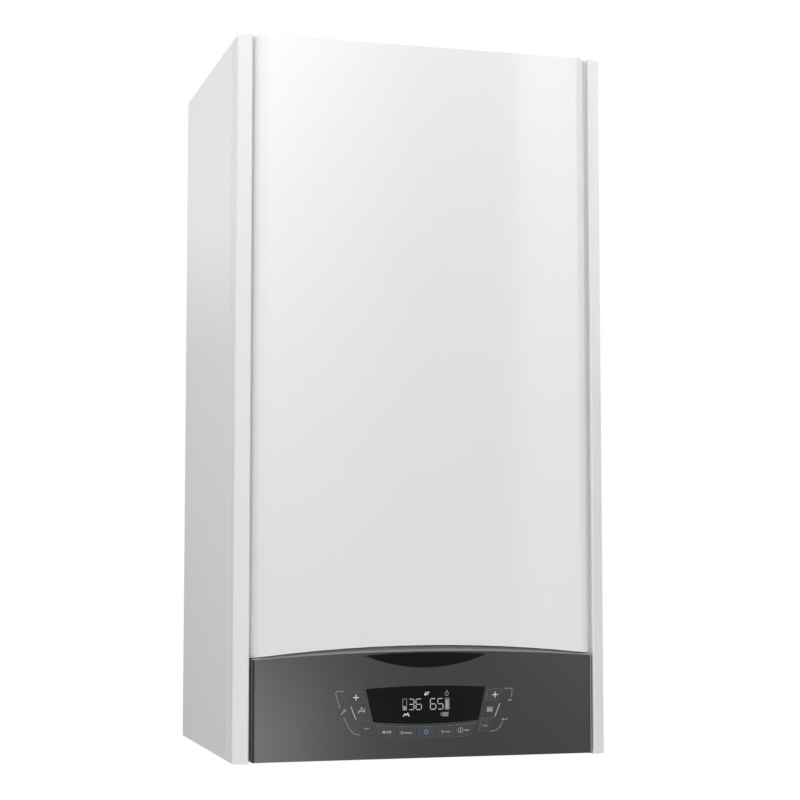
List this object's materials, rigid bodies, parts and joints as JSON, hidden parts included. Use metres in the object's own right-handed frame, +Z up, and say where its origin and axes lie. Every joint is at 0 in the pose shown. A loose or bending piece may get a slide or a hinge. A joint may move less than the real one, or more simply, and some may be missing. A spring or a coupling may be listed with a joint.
{
  "type": "wall-hung gas boiler",
  "caption": "Wall-hung gas boiler with white casing, pull-off front cover, dark tilting control box with keys and display, and its full burner, pump and pipe assembly.",
  "frame": {"origin": "on the wall plane, midway between the two bolt holes of the wall bracket", "axes": "+X to the right as seen from the front, +Y into the wall, +Z up"},
  "size_m": [0.4, 0.3194, 0.77],
  "materials": {
    "white_enamel": "smooth satin powder coat",
    "white_trim": "satin moulded",
    "galvanised_steel": "plain zinc coat",
    "fascia_plastic": "fine grained",
    "key_plastic": "smooth matt",
    "black_gloss": "polished",
    "black_plastic": "moulded",
    "circuit_board": "lacquered",
    "flue_plastic": "moulded",
    "zinc_steel": "bright zinc",
    "red_enamel": "gloss paint",
    "stainless_steel": "rolled",
    "cast_aluminium": "as cast",
    "ceramic": "glazed",
    "copper": "drawn tube",
    "brass": "forged and machined",
    "cast_iron": "dark lacquer",
    "black_rubber": "foam rubber",
    "grey_plastic": "moulded",
    "red_plastic": "moulded",
    "blue_plastic": "moulded"
  },
  "bodies": {
    "chassis": {"left_side_panel": "white_enamel", "right_side_panel": "white_enamel", "top_panel": "white_enamel", "back_panel": "galvanised_steel", "wall_bracket": "galvanised_steel", "bottom_plate": "galvanised_steel", "cross_rail": "galvanised_steel", "hinge_brackets": "galvanised_steel", "fan_motor": "black_plastic", "pump_motor": "black_plastic", "venturi": "black_plastic", "diverter_motor": "black_plastic", "air_silencer": "black_plastic", "flue_collar": "flue_plastic", "flue_duct": "flue_plastic", "collar_fixings": "zinc_steel", "door_nuts": "zinc_steel", "expansion_vessel": "red_enamel", "exchanger_shell": "stainless_steel", "plate_exchanger": "stainless_steel", "burner_door": "cast_aluminium", "mixer_manifold": "cast_aluminium", "fan_housing": "cast_aluminium", "gas_valve": "cast_aluminium", "ignition_electrodes": "ceramic", "flow_pipe": "copper", "return_pipe": "copper", "vessel_pipe": "copper", "gas_pipes": "copper", "service_stubs": "brass", "relief_valve": "brass", "fill_tap": "brass", "return_group": "brass", "flow_group": "brass", "pump_body": "cast_iron", "condensate_hose": "grey_plastic", "condensate_trap": "grey_plastic"},
    "front_cover": {"front_panel": "white_enamel", "left_stile": "white_trim", "right_stile": "white_trim", "cover_seal": "black_rubber", "cover_studs": "zinc_steel"},
    "control_box": {"control_fascia": "fascia_plastic", "box_housing": "black_plastic", "box_cover": "black_plastic", "control_board": "circuit_board", "display_window": "black_gloss", "badge_plate": "black_gloss"},
    "fan_impeller": {"fan_impeller": "cast_aluminium"},
    "relief_knob": {"relief_knob": "red_plastic"},
    "fill_knob": {"fill_knob": "blue_plastic"},
    "key_left_plus": {"key_left_plus": "key_plastic"},
    "key_left_minus": {"key_left_minus": "key_plastic"},
    "key_right_plus": {"key_right_plus": "key_plastic"},
    "key_right_minus": {"key_right_minus": "key_plastic"},
    "key_service": {"key_service": "key_plastic"},
    "key_clock": {"key_clock": "key_plastic"},
    "key_power": {"key_power": "key_plastic"},
    "key_mode": {"key_mode": "key_plastic"},
    "key_info": {"key_info": "key_plastic"}
  },
  "joints": [
    {"name": "front_cover_pull", "type": "slide", "parent": "chassis", "child": "front_cover", "axis": [0, -1, 0], "range_m": [0, 0.2]},
    {"name": "control_box_tilt", "type": "hinge", "parent": "chassis", "child": "control_box", "pos_m": [0, -0.29, -0.676], "axis": [1, 0, 0], "range_deg": [0, 90]},
    {"name": "fan_spin", "type": "hinge", "parent": "chassis", "child": "fan_impeller", "pos_m": [-0.058, -0.2, -0.342], "axis": [0, 1, 0], "continuous": true},
    {"name": "relief_turn", "type": "hinge", "parent": "chassis", "child": "relief_knob", "pos_m": [0.132, -0.17, -0.59], "axis": [0, -1, 0], "range_deg": [0, 90]},
    {"name": "fill_turn", "type": "hinge", "parent": "chassis", "child": "fill_knob", "pos_m": [0.066, -0.17, -0.59], "axis": [0, -1, 0], "range_deg": [0, 360]},
    {"name": "key_left_plus_press", "type": "slide", "parent": "control_box", "child": "key_left_plus", "axis": [0, 1, 0], "range_m": [0, 0.0009], "stiffness_N_per_m": 500, "springref_m": -0.002},
    {"name": "key_left_minus_press", "type": "slide", "parent": "control_box", "child": "key_left_minus", "axis": [0, 1, 0], "range_m": [0, 0.0009], "stiffness_N_per_m": 500, "springref_m": -0.002},
    {"name": "key_right_plus_press", "type": "slide", "parent": "control_box", "child": "key_right_plus", "axis": [0, 1, 0], "range_m": [0, 0.0009], "stiffness_N_per_m": 500, "springref_m": -0.002},
    {"name": "key_right_minus_press", "type": "slide", "parent": "control_box", "child": "key_right_minus", "axis": [0, 1, 0], "range_m": [0, 0.0009], "stiffness_N_per_m": 500, "springref_m": -0.002},
    {"name": "key_service_press", "type": "slide", "parent": "control_box", "child": "key_service", "axis": [0, 1, 0], "range_m": [0, 0.0009], "stiffness_N_per_m": 500, "springref_m": -0.002},
    {"name": "key_clock_press", "type": "slide", "parent": "control_box", "child": "key_clock", "axis": [0, 1, 0], "range_m": [0, 0.0009], "stiffness_N_per_m": 500, "springref_m": -0.002},
    {"name": "key_power_press", "type": "slide", "parent": "control_box", "child": "key_power", "axis": [0, 1, 0], "range_m": [0, 0.0009], "stiffness_N_per_m": 500, "springref_m": -0.002},
    {"name": "key_mode_press", "type": "slide", "parent": "control_box", "child": "key_mode", "axis": [0, 1, 0], "range_m": [0, 0.0009], "stiffness_N_per_m": 500, "springref_m": -0.002},
    {"name": "key_info_press", "type": "slide", "parent": "control_box", "child": "key_info", "axis": [0, 1, 0], "range_m": [0, 0.0009], "stiffness_N_per_m": 500, "springref_m": -0.002}
  ]
}
